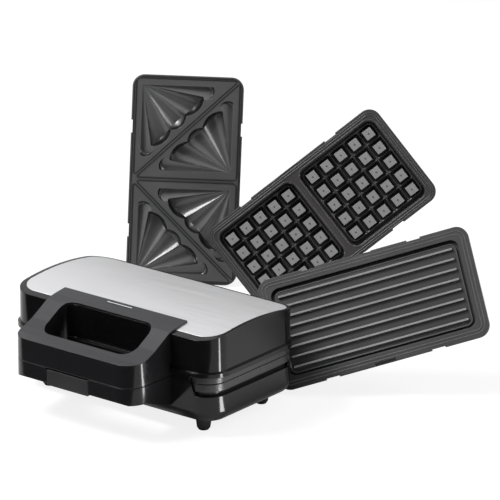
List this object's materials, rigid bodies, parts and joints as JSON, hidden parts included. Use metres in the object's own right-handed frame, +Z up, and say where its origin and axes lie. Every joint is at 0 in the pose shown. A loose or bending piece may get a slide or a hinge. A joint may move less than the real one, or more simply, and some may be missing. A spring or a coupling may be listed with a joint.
{
  "type": "breakfast sandwich maker",
  "caption": "Hinged electric sandwich press with a handle, latch, heated plates in base and lid, and loose sandwich, waffle and grill plates standing behind it.",
  "frame": {"origin": "on the standing plane, under the centre of the housing", "axes": "+Z up, -Y towards the handle, +X to the right as the user faces the handle"},
  "size_m": [0.5203, 0.5074, 0.2232],
  "materials": {
    "housing_plastic": "polished black moulding",
    "handle_plastic": "black moulding, satin on top",
    "frame_plastic": "satin black moulding",
    "panel_metal": "satin brushed sheet",
    "plate_coating": "dark grey non-stick coating, satin",
    "latch_plastic": "dark grey moulding",
    "foot_rubber": "dark rubber",
    "lens": "milky translucent",
    "lamp_red": "coloured lamp bodies",
    "reflector_sheet": "plain sheet",
    "element_sheath": "oxidised sheath",
    "pin_steel": "bright steel",
    "screw_steel": "zinc plated",
    "ceramic": "cream ceramic and nylon",
    "circuit_board": "green laminate",
    "wire_sleeve": "glass fibre sleeve"
  },
  "bodies": {
    "base": {"lower_housing": "housing_plastic", "lower_handle": "handle_plastic", "rubber_feet": "foot_rubber", "lower_frame": "frame_plastic", "lower_reflector": "reflector_sheet", "lower_element": "element_sheath", "lower_element_clips": "reflector_sheet", "lower_plate": "plate_coating", "lower_catch_spring": "pin_steel", "terminal_block": "ceramic", "thermal_fuse": "ceramic", "base_wiring": "wire_sleeve", "cord_inlet": "housing_plastic", "hinge_posts": "housing_plastic", "hinge_pins": "pin_steel", "base_screws": "screw_steel", "latch_pin": "pin_steel", "latch_spring": "pin_steel"},
    "lid": {"upper_housing": "housing_plastic", "top_panel": "panel_metal", "upper_handle": "handle_plastic", "indicator_lens": "lens", "indicator_lamps": "lamp_red", "lamp_holder": "circuit_board", "upper_frame": "frame_plastic", "upper_reflector": "reflector_sheet", "upper_element": "element_sheath", "upper_element_clips": "reflector_sheet", "upper_plate": "plate_coating", "upper_catch_spring": "pin_steel", "thermostat": "ceramic", "lid_wiring": "wire_sleeve", "hinge_ears": "housing_plastic", "lid_screws": "screw_steel"},
    "latch": {"latch": "latch_plastic"},
    "lower_catch": {"lower_catch": "latch_plastic"},
    "upper_catch": {"upper_catch": "latch_plastic"},
    "sandwich_plate": {"sandwich_plate": "plate_coating"},
    "waffle_plate": {"waffle_plate": "plate_coating"},
    "grill_plate": {"grill_plate": "plate_coating"}
  },
  "joints": [
    {"name": "lid_hinge", "type": "hinge", "parent": "base", "child": "lid", "pos_m": [0, 0.08, 0.085], "axis": [-1, 0, 0], "range_deg": [0, 95]},
    {"name": "latch_pivot", "type": "hinge", "parent": "base", "child": "latch", "pos_m": [0, -0.123, 0.051], "axis": [-1, 0, 0], "range_deg": [0, 12], "stiffness_Nm_per_rad": 0.05, "deforming": ["latch_spring"]},
    {"name": "lower_catch_slide", "type": "slide", "parent": "base", "child": "lower_catch", "axis": [0, -1, 0], "range_m": [0, 0.002], "stiffness_N_per_m": 200, "deforming": ["lower_catch_spring"]},
    {"name": "upper_catch_slide", "type": "slide", "parent": "lid", "child": "upper_catch", "axis": [0, -1, 0], "range_m": [0, 0.002], "stiffness_N_per_m": 200, "deforming": ["upper_catch_spring"]},
    {"name": "sandwich_plate_lift", "type": "slide", "parent": "base", "child": "sandwich_plate", "axis": [0, 0, 1], "range_m": [0, 0.03]},
    {"name": "waffle_plate_lift", "type": "slide", "parent": "base", "child": "waffle_plate", "axis": [0, 0, 1], "range_m": [0, 0.03]},
    {"name": "grill_plate_lift", "type": "slide", "parent": "base", "child": "grill_plate", "axis": [0, 0, 1], "range_m": [0, 0.03]}
  ]
}
